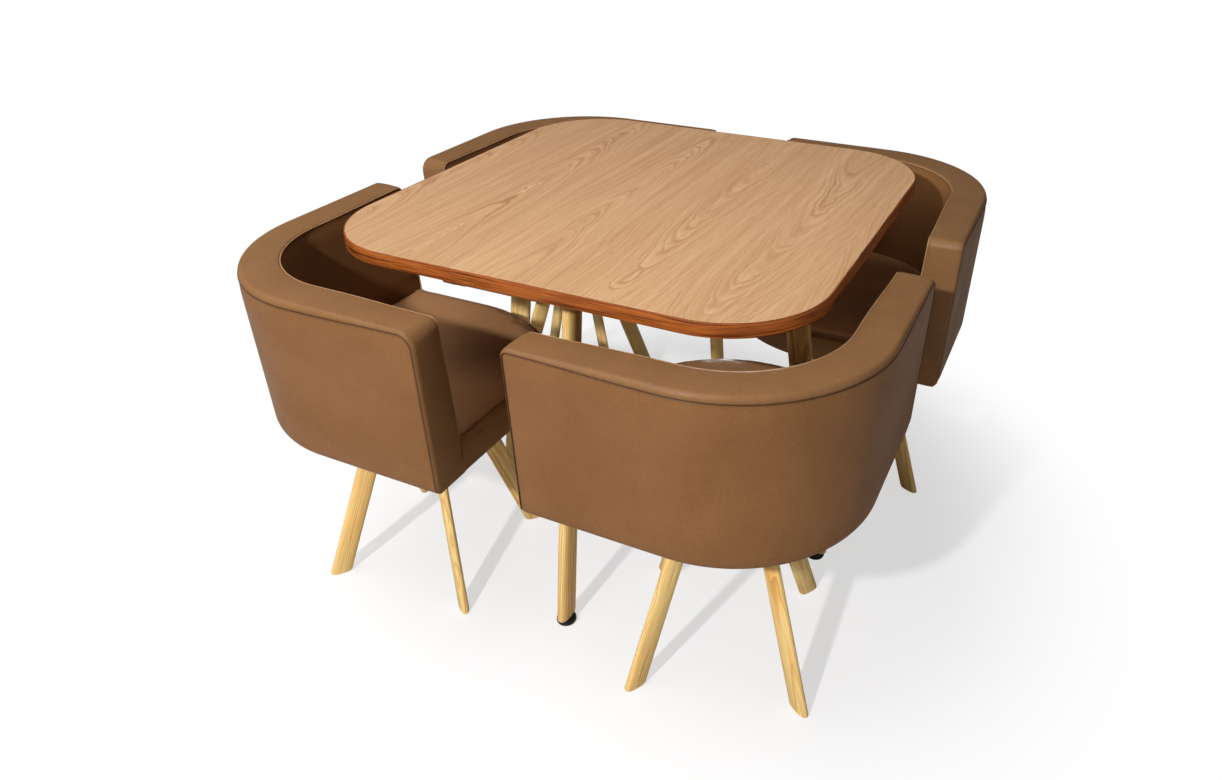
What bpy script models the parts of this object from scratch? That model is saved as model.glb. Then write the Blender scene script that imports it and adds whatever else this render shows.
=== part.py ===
"""A square dining table and the four corner tub chairs that push in between its legs."""

import math

import bmesh
import bpy
from mathutils import Matrix, Vector

# Fits that every piece shares, in metres
GAP = 0.0003
OVERRUN = 0.005
WELD_DISTANCE = 0.00001
ON_PLANE = 0.000001

# Table top and its edge band
TABLE_SIDE = 0.900
TABLE_HEIGHT = 0.750
TOP_THICKNESS = 0.025
TOP_CORNER_RADIUS = 0.174
EDGE_BAND_THICKNESS = 0.002
TOP_CORNER_SEGMENTS = 12

# Table legs, one under the middle of each side, and the crossed rails that join their tops
TABLE_LEG_FOOT_RADIUS = 0.380
TABLE_LEG_TOP_RADIUS = 0.288
TABLE_LEG_DEPTH = 0.048
TABLE_LEG_WIDTH = 0.024
LEG_ROUND_SEGMENTS = 6
RAIL_HEIGHT = 0.020
RAIL_WIDTH = 0.022

# Levelling glides, screwed up into the table legs
GLIDE_RADIUS = 0.019
GLIDE_HEIGHT = 0.012
GLIDE_CHAMFER = 0.003
STEM_RADIUS = 0.004
STEM_LENGTH = 0.028
STEM_CLEARANCE = 0.0004
ROUND_STEPS = 24

# Chair shell, seen from above a square with one round back corner
CHAIR_SIDE = 0.528
RIM_HEIGHT = 0.698
SHELL_BOTTOM = 0.388
BACK_CORNER_RADIUS = 0.270
BACK_CORNER_SEGMENTS = 10
WALL_LEAN = 0.016
TURN_UNDER = 0.008
ARM_CORNER_RADIUS = 0.022
ARM_CORNER_SEGMENTS = 5
OUTER_PANEL_THICKNESS = 0.006
FRAME_THICKNESS = 0.040
INNER_PANEL_THICKNESS = 0.0234
RIM_BAND_THICKNESS = 0.012
RIM_BAND_ROUNDING = 0.008
RIM_BAND_SEGMENTS = 2

# Chair seat: board, cushion and the border round its front
BOARD_BOTTOM = 0.392
BOARD_THICKNESS = 0.015
FRONT_CORNER_RADIUS = 0.250
FRONT_CORNER_SEGMENTS = 8
BORDER_TOP = 0.448
BORDER_ROUNDING = 0.004
CUSHION_SIDE_CLEARANCE = 0.0015
CUSHION_EDGE_TOP = 0.460
CUSHION_CROWN = 0.012
CUSHION_EDGE_ROUNDING = 0.007
CUSHION_DRAWN_IN = 0.002
CUSHION_SIDE_CORNER = 0.014
CUSHION_SIDE_SEGMENTS = 2
CUSHION_LEAST_RADIUS = 0.004
CUSHION_CROWN_REACH = 0.150
# Each crown ring's way in from the edge, and its rise, as shares of the reach and the crown
CROWN_SHARES = ((0.25, 0.50), (0.60, 0.85), (1.0, 1.0))

# Chair legs and the plate that they are fixed to
CHAIR_LEG_DEPTH = 0.042
CHAIR_LEG_WIDTH = 0.018
CHAIR_FOOT_SPACING = 0.292
CHAIR_LEG_TOP_SPACING = 0.096
LEG_PLATE_SIDE = 0.180
LEG_PLATE_THICKNESS = 0.004
LEG_PLATE_CORNER_RADIUS = 0.020
LEG_PLATE_CORNER_SEGMENTS = 4

# Places: pushed in, a chair's two front sides lie this far from the table legs' sides
TUCK_CLEARANCE = 0.003
# How far each chair is pulled out of that place along X and along Y, as it stands
LEFT_OUT_X = 0.093
LEFT_OUT_Y = 0.037
FRONT_OUT_X = 0.019
FRONT_OUT_Y = 0.014
RIGHT_OUT_X = 0.037
RIGHT_OUT_Y = 0.108
BACK_OUT_X = 0.108
BACK_OUT_Y = 0.090
PULLED_OUT = {
    "left": (LEFT_OUT_X, LEFT_OUT_Y),
    "front": (FRONT_OUT_X, FRONT_OUT_Y),
    "right": (RIGHT_OUT_X, RIGHT_OUT_Y),
    "back": (BACK_OUT_X, BACK_OUT_Y),
}
# How far each leg frame's middle lies from its seat's middle, along the chair's own X and Y
LEFT_LEGS_X = 0.015
LEFT_LEGS_Y = 0.011
FRONT_LEGS_X = 0.010
FRONT_LEGS_Y = 0.003
RIGHT_LEGS_X = -0.003
RIGHT_LEGS_Y = 0.003
BACK_LEGS_X = 0.016
BACK_LEGS_Y = -0.008
LEG_FRAME_OFFSETS = {
    "left": (LEFT_LEGS_X, LEFT_LEGS_Y),
    "front": (FRONT_LEGS_X, FRONT_LEGS_Y),
    "right": (RIGHT_LEGS_X, RIGHT_LEGS_Y),
    "back": (BACK_LEGS_X, BACK_LEGS_Y),
}
# How far each chair's leg frame is turned against its seat, in degrees
LEG_FRAME_TURNS = {"left": 5, "front": 15, "right": 22, "back": 12}
# The quarter of the table that each chair stands in, as signs of X and Y, and its quarter turns
QUARTERS = {
    "left": (-1, -1, 0),
    "front": (1, -1, 1),
    "right": (1, 1, 2),
    "back": (-1, 1, 3),
}
TABLE_LEG_SIDES = {"front": -90, "right": 0, "back": 90, "left": 180}
CHAIR_LEG_CORNERS = {"outer": -135, "near": -45, "inner": 45, "far": 135}

# Worked out from the sizes above
HALF_CHAIR = CHAIR_SIDE / 2
TOP_UNDERSIDE = TABLE_HEIGHT - TOP_THICKNESS
TABLE_LEG_TOP = TOP_UNDERSIDE - GAP
TABLE_LEG_BOTTOM = GLIDE_HEIGHT + GAP
TUCKED_CENTRE = HALF_CHAIR + TABLE_LEG_WIDTH / 2 + TUCK_CLEARANCE
STACK_TOP = RIM_HEIGHT - RIM_BAND_THICKNESS
BOARD_TOP = BOARD_BOTTOM + BOARD_THICKNESS
INNER_PANEL_BOTTOM = BOARD_TOP + GAP
FRAME_OUTER = OUTER_PANEL_THICKNESS + GAP
FRAME_INNER = FRAME_OUTER + FRAME_THICKNESS
WALL_THICKNESS = FRAME_INNER + GAP + INNER_PANEL_THICKNESS
ARM_END = HALF_CHAIR - RIM_BAND_THICKNESS
STRAIGHT_LENGTH = ARM_END + HALF_CHAIR - BACK_CORNER_RADIUS
ARC_LENGTH = BACK_CORNER_RADIUS * math.pi / 2
WALL_LENGTH = 2 * STRAIGHT_LENGTH + ARC_LENGTH
PLATE_TOP = BOARD_BOTTOM - GAP
PLATE_BOTTOM = PLATE_TOP - LEG_PLATE_THICKNESS
CHAIR_LEG_TOP = PLATE_BOTTOM - GAP

# Colours of the finishes: red, green, blue, roughness and metallic
FINISHES = {
    "oak_top": (0.58, 0.34, 0.18, 0.45, 0.0),
    "edge_band": (0.51, 0.14, 0.03, 0.50, 0.0),
    "oak_leg": (0.72, 0.46, 0.16, 0.50, 0.0),
    "rail_wood": (0.50, 0.36, 0.20, 0.60, 0.0),
    "glide_plastic": (0.01, 0.01, 0.01, 0.35, 0.0),
    "outer_leather": (0.29, 0.14, 0.06, 0.45, 0.0),
    "inner_leather": (0.20, 0.10, 0.05, 0.45, 0.0),
    "rim_leather": (0.27, 0.16, 0.08, 0.42, 0.0),
    "border_leather": (0.25, 0.14, 0.07, 0.45, 0.0),
    "seat_leather": (0.24, 0.14, 0.07, 0.45, 0.0),
    "frame_wood": (0.45, 0.33, 0.20, 0.70, 0.0),
    "board_wood": (0.42, 0.30, 0.18, 0.70, 0.0),
    "plate_steel": (0.03, 0.03, 0.03, 0.40, 1.0),
}


def clear_scene():
    for item in list(bpy.data.objects):
        bpy.data.objects.remove(item, do_unlink=True)


def make_collection(name):
    collection = bpy.data.collections.new(name)
    bpy.context.scene.collection.children.link(collection)
    return collection


def make_material(name):
    red, green, blue, roughness, metallic = FINISHES[name]
    material = bpy.data.materials.new(name)
    material.use_nodes = True
    shader = material.node_tree.nodes["Principled BSDF"]
    shader.inputs["Base Color"].default_value = (red, green, blue, 1)
    shader.inputs["Roughness"].default_value = roughness
    shader.inputs["Metallic"].default_value = metallic
    material.diffuse_color = (red, green, blue, 1)
    return material


def to_mesh(name, bm):
    """Write a bmesh to a new mesh with its faces pointing out."""
    bmesh.ops.recalc_face_normals(bm, faces=bm.faces)
    if bm.calc_volume(signed=True) < 0:
        bmesh.ops.reverse_faces(bm, faces=bm.faces)
    mesh = bpy.data.meshes.new(name)
    bm.to_mesh(mesh)
    bm.free()
    return mesh


def smooth(mesh, angle=math.radians(30)):
    mesh.shade_smooth()
    mesh.set_sharp_from_angle(angle=angle)
    return mesh


def place(name, mesh, finish, collection, parent, angle=0.0, at=(0, 0, 0)):
    """Put a mesh in the part as one named sub-part."""
    if not mesh.materials:
        mesh.materials.append(bpy.data.materials.get(finish) or make_material(finish))
    item = bpy.data.objects.new(name, mesh)
    item.location = at
    item.rotation_euler = (0, 0, angle)
    item.parent = parent
    collection.objects.link(item)
    return item


def carve(mesh, cutter_mesh, cutters):
    """Return the mesh with the cutter's space taken out of it."""
    body = bpy.data.objects.new("body", mesh)
    cutter = bpy.data.objects.new("cutter", cutter_mesh)
    for item in (body, cutter):
        item.hide_render = True
        cutters.objects.link(item)
    cutter.display_type = "WIRE"
    cut = body.modifiers.new("cut", "BOOLEAN")
    cut.operation = "DIFFERENCE"
    cut.solver = "EXACT"
    cut.object = cutter
    graph = bpy.context.evaluated_depsgraph_get()
    result = bpy.data.meshes.new_from_object(body.evaluated_get(graph))
    result.name = mesh.name
    bpy.data.objects.remove(body)
    bpy.data.objects.remove(cutter)
    return result


def arc(centre, radius, start, end, segments):
    """Points of a circle's arc, both ends included, with the angles in degrees."""
    points = []
    for step in range(segments + 1):
        angle = math.radians(start + (end - start) * step / segments)
        points.append((centre[0] + radius * math.cos(angle), centre[1] + radius * math.sin(angle)))
    return points


def rounded_square(half, radius, segments):
    """Outline of a square with round corners, as points going anticlockwise."""
    points = []
    for turn in range(4):
        sign_x = 1 if turn in (0, 3) else -1
        sign_y = 1 if turn in (0, 1) else -1
        centre = (sign_x * (half - radius), sign_y * (half - radius))
        points += arc(centre, radius, 90 * turn, 90 * turn + 90, segments)
    return points


def flat_oval(depth, width):
    """Outline of a leg: two half circles joined by flats, long along X."""
    radius = width / 2
    reach = depth / 2 - radius
    right = arc((reach, 0), radius, -90, 90, LEG_ROUND_SEGMENTS)
    left = arc((-reach, 0), radius, 90, 270, LEG_ROUND_SEGMENTS)
    return right + left


def extrude_outline(name, loops, low, high):
    """Solid between two heights over a flat outline; a second loop is a hole."""
    curve = bpy.data.curves.new(name, "CURVE")
    curve.dimensions = "2D"
    curve.fill_mode = "BOTH"
    curve.extrude = (high - low) / 2
    for loop in loops:
        spline = curve.splines.new("POLY")
        spline.points.add(len(loop) - 1)
        for point, (x, y) in zip(spline.points, loop):
            point.co = (x, y, 0, 1)
        spline.use_cyclic_u = True
    item = bpy.data.objects.new(name, curve)
    bpy.context.scene.collection.objects.link(item)
    graph = bpy.context.evaluated_depsgraph_get()
    mesh = bpy.data.meshes.new_from_object(item.evaluated_get(graph))
    bpy.data.objects.remove(item)
    bm = bmesh.new()
    bm.from_mesh(mesh)
    bmesh.ops.remove_doubles(bm, verts=bm.verts, dist=WELD_DISTANCE)
    bmesh.ops.translate(bm, verts=bm.verts, vec=(0, 0, (low + high) / 2))
    return to_mesh(name, bm)


def block(low, high):
    """A bmesh box between two opposite corners."""
    middle = (Vector(low) + Vector(high)) / 2
    size = Vector(high) - Vector(low)
    bm = bmesh.new()
    bmesh.ops.create_cube(bm, size=1, matrix=Matrix.Translation(middle) @ Matrix.Diagonal((*size, 1)))
    return bm


def bevel(bm, edges, radius, segments):
    bmesh.ops.bevel(
        bm, geom=edges, offset=radius, offset_type="OFFSET",
        segments=segments, profile=0.5, affect="EDGES",
    )


def slice_across(bm, axis, places):
    """Cut edges into the mesh where planes across the axis meet it."""
    normal = Vector((0, 0, 0))
    normal[axis] = 1
    for value in places:
        everything = bm.verts[:] + bm.edges[:] + bm.faces[:]
        bmesh.ops.bisect_plane(
            bm, geom=everything, dist=ON_PLANE, plane_co=normal * value, plane_no=normal,
        )


def at_value(edge, axis, value):
    return all(abs(vert.co[axis] - value) < WELD_DISTANCE for vert in edge.verts)


# The chair's wall is made straight, as a bar whose X runs along the outer face from one arm
# end to the other, Y runs inward and Z up, and is then bent round the back corner.


def lean(z):
    """How far the wall lies inward of its rim at a height, with its lower edge turned under."""
    inward = WALL_LEAN * (STACK_TOP - z) / (STACK_TOP - SHELL_BOTTOM) if z < STACK_TOP else 0.0
    if z < INNER_PANEL_BOTTOM:
        down = min(1.0, (INNER_PANEL_BOTTOM - z) / (INNER_PANEL_BOTTOM - SHELL_BOTTOM))
        inward += TURN_UNDER * (1 - math.sqrt(1 - down * down))
    return inward


def bend_point(co):
    """Where a point of the straight wall lies once the wall is bent."""
    along, inward, z = co
    offset = inward + lean(z)
    corner = -HALF_CHAIR + BACK_CORNER_RADIUS
    if along <= STRAIGHT_LENGTH:
        return Vector((ARM_END - along, -HALF_CHAIR + offset, z))
    if along >= STRAIGHT_LENGTH + ARC_LENGTH:
        past = along - STRAIGHT_LENGTH - ARC_LENGTH
        return Vector((-HALF_CHAIR + offset, corner + past, z))
    angle = (along - STRAIGHT_LENGTH) / BACK_CORNER_RADIUS
    radius = BACK_CORNER_RADIUS - offset
    return Vector((corner - radius * math.sin(angle), corner - radius * math.cos(angle), z))


def wall_stations():
    """Places along the straight wall where the bent one gets a new facet."""
    step = ARC_LENGTH / BACK_CORNER_SEGMENTS
    return [STRAIGHT_LENGTH + step * number for number in range(BACK_CORNER_SEGMENTS + 1)]


def wall_rows():
    return [BOARD_BOTTOM, (BOARD_BOTTOM + INNER_PANEL_BOTTOM) / 2, INNER_PANEL_BOTTOM]


def bend_wall(name, bm):
    slice_across(bm, 0, wall_stations())
    slice_across(bm, 2, wall_rows())
    for vert in bm.verts:
        vert.co = bend_point(vert.co)
    return smooth(to_mesh(name, bm))


def wall_layer(name, outer, inner, bottom):
    """One layer of the wall, between two depths from its outer face."""
    bm = block((GAP, outer, bottom), (WALL_LENGTH - GAP, inner, STACK_TOP - GAP))
    ends = [
        edge for edge in bm.edges
        if at_value(edge, 2, STACK_TOP - GAP)
        and (at_value(edge, 0, GAP) or at_value(edge, 0, WALL_LENGTH - GAP))
    ]
    bevel(bm, ends, ARM_CORNER_RADIUS - RIM_BAND_THICKNESS, ARM_CORNER_SEGMENTS)
    return bend_wall(name, bm)


def rim_band(cutters):
    """The padded strip that covers the wall's top edge and both arm ends."""
    start = -RIM_BAND_THICKNESS
    end = WALL_LENGTH + RIM_BAND_THICKNESS
    bm = block((start, 0, SHELL_BOTTOM), (end, WALL_THICKNESS, RIM_HEIGHT))
    corners = [
        edge for edge in bm.edges
        if at_value(edge, 2, RIM_HEIGHT) and (at_value(edge, 0, start) or at_value(edge, 0, end))
    ]
    bevel(bm, corners, ARM_CORNER_RADIUS, ARM_CORNER_SEGMENTS)
    outline = [
        edge for edge in bm.edges
        if (at_value(edge, 1, 0) or at_value(edge, 1, WALL_THICKNESS))
        and not at_value(edge, 2, SHELL_BOTTOM)
    ]
    bevel(bm, outline, RIM_BAND_ROUNDING, RIM_BAND_SEGMENTS)
    solid = to_mesh("rim_band", bm)
    bm = block(
        (0, -OVERRUN, SHELL_BOTTOM - OVERRUN),
        (WALL_LENGTH, WALL_THICKNESS + OVERRUN, STACK_TOP),
    )
    corners = [
        edge for edge in bm.edges
        if at_value(edge, 2, STACK_TOP) and (at_value(edge, 0, 0) or at_value(edge, 0, WALL_LENGTH))
    ]
    bevel(bm, corners, ARM_CORNER_RADIUS - RIM_BAND_THICKNESS, ARM_CORNER_SEGMENTS)
    hollow = to_mesh("rim_band_hollow", bm)
    bm = bmesh.new()
    bm.from_mesh(carve(solid, hollow, cutters))
    return bend_wall("rim_band", bm)


def seat_outline(back_offset, front_inset, side_radius, inset=0.0):
    """Outline of what lies between the walls and the seat's front, going anticlockwise."""
    back = -HALF_CHAIR + back_offset + inset
    front = HALF_CHAIR - front_inset - inset
    corner = -HALF_CHAIR + BACK_CORNER_RADIUS
    back_radius = BACK_CORNER_RADIUS - back_offset - inset
    front_radius = max(FRONT_CORNER_RADIUS - front_inset - inset, CUSHION_LEAST_RADIUS)
    side = max(side_radius - inset, CUSHION_LEAST_RADIUS)
    points = arc((corner, corner), back_radius, 180, 270, BACK_CORNER_SEGMENTS)
    points += arc((front - side, back + side), side, 270, 360, CUSHION_SIDE_SEGMENTS)
    points += arc((front - front_radius, front - front_radius), front_radius, 0, 90, FRONT_CORNER_SEGMENTS)
    points += arc((back + side, front - side), side, 90, 180, CUSHION_SIDE_SEGMENTS)
    return points


def seat_board():
    """The board that the cushion lies on, held between the wall frames."""
    outline = seat_outline(
        FRAME_INNER + GAP + lean(BOARD_BOTTOM), RIM_BAND_THICKNESS + GAP, CUSHION_LEAST_RADIUS,
    )
    return extrude_outline("seat_board", [outline], BOARD_BOTTOM, BOARD_TOP)


def seat_cushion():
    """The cushion: sides drawn in at half height, a rounded top edge and a low crown."""
    low = BOARD_TOP + GAP
    side_height = CUSHION_EDGE_TOP - CUSHION_EDGE_ROUNDING - low
    rings = [
        (CUSHION_DRAWN_IN, low),
        (0.0, low + side_height / 4),
        (CUSHION_DRAWN_IN, low + side_height / 2),
        (0.0, low + side_height),
        (CUSHION_EDGE_ROUNDING, CUSHION_EDGE_TOP),
    ]
    for way_share, rise_share in CROWN_SHARES:
        way = CUSHION_EDGE_ROUNDING + CUSHION_CROWN_REACH * way_share
        rings.append((way, CUSHION_EDGE_TOP + CUSHION_CROWN * rise_share))
    back_offset = WALL_THICKNESS + lean(INNER_PANEL_BOTTOM) + CUSHION_SIDE_CLEARANCE
    bm = bmesh.new()
    loops = []
    for inset, z in rings:
        outline = seat_outline(back_offset, RIM_BAND_THICKNESS + GAP, CUSHION_SIDE_CORNER, inset)
        loops.append([bm.verts.new((x, y, z)) for x, y in outline])
    for lower, upper in zip(loops, loops[1:]):
        for number in range(len(lower)):
            after = (number + 1) % len(lower)
            bm.faces.new((lower[number], lower[after], upper[after], upper[number]))
    bm.faces.new(list(reversed(loops[0])))
    bm.faces.new(loops[-1])
    return smooth(to_mesh("seat_cushion", bm))


def seat_border():
    """The strip round the seat's front, from one arm end to the other."""
    start = -HALF_CHAIR + WALL_THICKNESS
    straight = HALF_CHAIR - FRONT_CORNER_RADIUS - start
    turn = FRONT_CORNER_RADIUS * math.pi / 2
    length = 2 * straight + turn
    centre = HALF_CHAIR - FRONT_CORNER_RADIUS
    bm = block((0, 0, SHELL_BOTTOM), (length, RIM_BAND_THICKNESS, BORDER_TOP))
    outer = [
        edge for edge in bm.edges
        if at_value(edge, 1, 0) and (at_value(edge, 2, BORDER_TOP) or at_value(edge, 2, SHELL_BOTTOM))
    ]
    bevel(bm, outer, BORDER_ROUNDING, 1)
    step = turn / FRONT_CORNER_SEGMENTS
    slice_across(bm, 0, [straight + step * number for number in range(FRONT_CORNER_SEGMENTS + 1)])
    slice_across(bm, 2, wall_rows())
    for vert in bm.verts:
        along, inward, z = vert.co
        radius = FRONT_CORNER_RADIUS - inward
        if along < WELD_DISTANCE:
            along = lean(z) + GAP
        elif along > length - WELD_DISTANCE:
            along = length - lean(z) - GAP
        if along <= straight:
            vert.co = (HALF_CHAIR - inward, start + along, z)
        elif along >= straight + turn:
            vert.co = (centre - (along - straight - turn), HALF_CHAIR - inward, z)
        else:
            angle = (along - straight) / FRONT_CORNER_RADIUS
            vert.co = (centre + radius * math.cos(angle), centre + radius * math.sin(angle), z)
    return smooth(to_mesh("seat_border", bm))


def slanted_leg(name, outline, bottom, top, foot_radius, top_radius, full_height):
    """A leg along X that leans from its foot's radius at the floor to its top's radius."""
    mesh = extrude_outline(name, [outline], bottom, top)
    for vert in mesh.vertices:
        vert.co.x += foot_radius + (top_radius - foot_radius) * vert.co.z / full_height
    return smooth(mesh)


def table_leg_radius(z):
    """Distance of a table leg's middle from the table's middle at a height."""
    share = z / TABLE_LEG_TOP
    return TABLE_LEG_FOOT_RADIUS + (TABLE_LEG_TOP_RADIUS - TABLE_LEG_FOOT_RADIUS) * share


def glide_radius_from_centre():
    return table_leg_radius(TABLE_LEG_BOTTOM)


def table_leg(cutters):
    leg = slanted_leg(
        "table_leg", flat_oval(TABLE_LEG_DEPTH, TABLE_LEG_WIDTH), TABLE_LEG_BOTTOM, TABLE_LEG_TOP,
        TABLE_LEG_FOOT_RADIUS, TABLE_LEG_TOP_RADIUS, TABLE_LEG_TOP,
    )
    radius = STEM_RADIUS + STEM_CLEARANCE
    top = GLIDE_HEIGHT + STEM_LENGTH + STEM_CLEARANCE
    bottom = TABLE_LEG_BOTTOM - OVERRUN
    bm = bmesh.new()
    bmesh.ops.create_cone(
        bm, cap_ends=True, segments=ROUND_STEPS, radius1=radius, radius2=radius, depth=top - bottom,
        matrix=Matrix.Translation((glide_radius_from_centre(), 0, (top + bottom) / 2)),
    )
    return smooth(carve(leg, to_mesh("stem_bore", bm), cutters))


def glide_profile():
    """Half section of a glide, from the stem's top down its outer side to the sole."""
    top = GLIDE_HEIGHT + STEM_LENGTH
    points = [
        (0, top),
        (STEM_RADIUS, top),
        (STEM_RADIUS, GLIDE_HEIGHT),
        (GLIDE_RADIUS - GLIDE_CHAMFER, GLIDE_HEIGHT),
        (GLIDE_RADIUS, GLIDE_HEIGHT - GLIDE_CHAMFER),
        (GLIDE_RADIUS, GLIDE_CHAMFER / 2),
        (GLIDE_RADIUS - GLIDE_CHAMFER / 2, 0),
        (0, 0),
    ]
    bm = bmesh.new()
    verts = [bm.verts.new((x, 0, z)) for x, z in points]
    for first, second in zip(verts, verts[1:]):
        bm.edges.new((first, second))
    mesh = bpy.data.meshes.new("glide_profile")
    bm.to_mesh(mesh)
    bm.free()
    return mesh


def turn_profile(item):
    screw = item.modifiers.new("turn", "SCREW")
    screw.axis = "Z"
    screw.angle = math.radians(360)
    screw.steps = ROUND_STEPS
    screw.render_steps = ROUND_STEPS
    screw.use_merge_vertices = True
    screw.merge_threshold = WELD_DISTANCE
    screw.use_smooth_shade = False


def table_rail(name, notch_on_top):
    """A rail between two opposite legs, notched half way through where the rails cross."""
    low = TOP_UNDERSIDE - RAIL_HEIGHT
    high = TOP_UNDERSIDE - GAP
    middle = (low + high) / 2
    notch = RAIL_WIDTH / 2 + GAP

    def end(z):
        return table_leg_radius(z) - TABLE_LEG_DEPTH / 2 - GAP

    if notch_on_top:
        depth = middle - GAP / 2
        upper = [(end(high), high), (notch, high), (notch, depth)]
        lower = [(end(low), low)]
    else:
        depth = middle + GAP / 2
        upper = [(end(high), high)]
        lower = [(notch, depth), (notch, low), (end(low), low)]
    right = lower + upper
    left = [(-x, z) for x, z in reversed(right)]
    mesh = extrude_outline(name, [right + left], -RAIL_WIDTH / 2, RAIL_WIDTH / 2)
    mesh.transform(Matrix.Rotation(math.radians(90), 4, "X"))
    return mesh


def leg_plate():
    outline = rounded_square(LEG_PLATE_SIDE / 2, LEG_PLATE_CORNER_RADIUS, LEG_PLATE_CORNER_SEGMENTS)
    return extrude_outline("leg_plate", [outline], PLATE_BOTTOM, PLATE_TOP)


def chair_leg():
    outline = flat_oval(CHAIR_LEG_DEPTH, CHAIR_LEG_WIDTH)
    foot = CHAIR_FOOT_SPACING / math.sqrt(2)
    top = CHAIR_LEG_TOP_SPACING / math.sqrt(2)
    return slanted_leg("chair_leg", outline, 0, CHAIR_LEG_TOP, foot, top, CHAIR_LEG_TOP)


def chair_centre(side):
    """Where a chair's middle stands, measured from the table's middle."""
    sign_x, sign_y, _ = QUARTERS[side]
    pull_x, pull_y = PULLED_OUT[side]
    return sign_x * (TUCKED_CENTRE + pull_x), sign_y * (TUCKED_CENTRE + pull_y)


def table_centre():
    """The table's middle, so that the middle of the whole set is the origin."""
    reaches = []
    for axis in (0, 1):
        places = [chair_centre(side)[axis] for side in QUARTERS]
        reaches.append(-(max(places) + min(places)) / 2)
    return reaches[0], reaches[1], 0


def build_table(collection, cutters, root):
    half = TABLE_SIDE / 2
    inner = half - EDGE_BAND_THICKNESS
    inner_radius = TOP_CORNER_RADIUS - EDGE_BAND_THICKNESS
    outer_loop = rounded_square(half, TOP_CORNER_RADIUS, TOP_CORNER_SEGMENTS)
    inner_loop = rounded_square(inner, inner_radius, TOP_CORNER_SEGMENTS)
    board_loop = rounded_square(inner - GAP, inner_radius - GAP, TOP_CORNER_SEGMENTS)
    band = extrude_outline("edge_band", [outer_loop, inner_loop], TOP_UNDERSIDE, TABLE_HEIGHT)
    board = extrude_outline("table_top", [board_loop], TOP_UNDERSIDE, TABLE_HEIGHT)
    place("table_top", board, "oak_top", collection, root)
    place("table_edge_band", smooth(band), "edge_band", collection, root)
    place("table_rail_x", table_rail("rail_x", True), "rail_wood", collection, root)
    cross = math.radians(90)
    place("table_rail_y", table_rail("rail_y", False), "rail_wood", collection, root, cross)
    leg = table_leg(cutters)
    profile = glide_profile()
    for side, degrees in TABLE_LEG_SIDES.items():
        angle = math.radians(degrees)
        place("table_leg_" + side, leg, "oak_leg", collection, root, angle)
        reach = glide_radius_from_centre()
        at = (reach * math.cos(angle), reach * math.sin(angle), 0)
        glide = place("table_glide_" + side, profile, "glide_plastic", collection, root, angle, at)
        turn_profile(glide)


def build_chairs(collection, cutters, root):
    board_depth = FRAME_INNER + GAP
    shell = {
        "outer_panel": (wall_layer("outer_panel", 0, OUTER_PANEL_THICKNESS, SHELL_BOTTOM), "outer_leather"),
        "wall_frame": (wall_layer("wall_frame", FRAME_OUTER, FRAME_INNER, SHELL_BOTTOM), "frame_wood"),
        "inner_panel": (
            wall_layer("inner_panel", board_depth, WALL_THICKNESS, INNER_PANEL_BOTTOM), "inner_leather",
        ),
        "rim_band": (rim_band(cutters), "rim_leather"),
        "seat_border": (seat_border(), "border_leather"),
        "seat_cushion": (seat_cushion(), "seat_leather"),
        "seat_board": (seat_board(), "board_wood"),
    }
    plate = leg_plate()
    leg = chair_leg()
    for side, (_, _, quarter_turns) in QUARTERS.items():
        holder = bpy.data.objects.new("chair_" + side + "_place", None)
        holder.location = (*chair_centre(side), 0)
        holder.rotation_euler = (0, 0, math.radians(90 * quarter_turns))
        holder.parent = root
        collection.objects.link(holder)
        prefix = "chair_" + side + "_"
        for piece, (mesh, finish) in shell.items():
            place(prefix + piece, mesh, finish, collection, holder)
        turn = math.radians(LEG_FRAME_TURNS[side])
        at = (*LEG_FRAME_OFFSETS[side], 0)
        place(prefix + "leg_plate", plate, "plate_steel", collection, holder, turn, at)
        for corner, degrees in CHAIR_LEG_CORNERS.items():
            angle = turn + math.radians(degrees)
            place(prefix + "leg_" + corner, leg, "oak_leg", collection, holder, angle, at)


def main():
    clear_scene()
    collection = make_collection("dining_table_and_chairs")
    cutters = make_collection("cutters")
    root = bpy.data.objects.new("table_place", None)
    root.location = table_centre()
    collection.objects.link(root)
    build_table(collection, cutters, root)
    build_chairs(collection, cutters, root)


main()
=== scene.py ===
"""Looks for the square dining table with four corner tub chairs: upholstery, wood, glides, studio."""

from math import atan2, copysign, cos, exp, hypot, pi, radians, sin, sqrt

import bmesh
import bpy
import numpy as np
from mathutils import Matrix, Vector


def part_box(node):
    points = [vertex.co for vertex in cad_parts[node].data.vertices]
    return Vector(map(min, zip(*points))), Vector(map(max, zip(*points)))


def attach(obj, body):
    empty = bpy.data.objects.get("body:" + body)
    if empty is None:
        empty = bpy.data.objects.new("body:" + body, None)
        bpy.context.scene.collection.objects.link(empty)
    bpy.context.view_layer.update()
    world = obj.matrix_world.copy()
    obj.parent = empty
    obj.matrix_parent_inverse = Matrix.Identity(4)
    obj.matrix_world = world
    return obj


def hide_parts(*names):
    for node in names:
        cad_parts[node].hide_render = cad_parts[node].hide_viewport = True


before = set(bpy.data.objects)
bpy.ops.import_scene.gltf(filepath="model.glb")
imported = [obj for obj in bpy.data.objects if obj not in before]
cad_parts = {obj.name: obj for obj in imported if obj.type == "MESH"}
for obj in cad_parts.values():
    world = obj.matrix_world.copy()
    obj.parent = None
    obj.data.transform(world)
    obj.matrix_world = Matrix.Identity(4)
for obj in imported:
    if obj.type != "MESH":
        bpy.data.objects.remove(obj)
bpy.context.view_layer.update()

# Each chair is turned by a quarter more than the one before. A chair's own axes have its middle at
# their origin and its back corner towards -X and -Y.
SIDES = ("left", "front", "right", "back")

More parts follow.
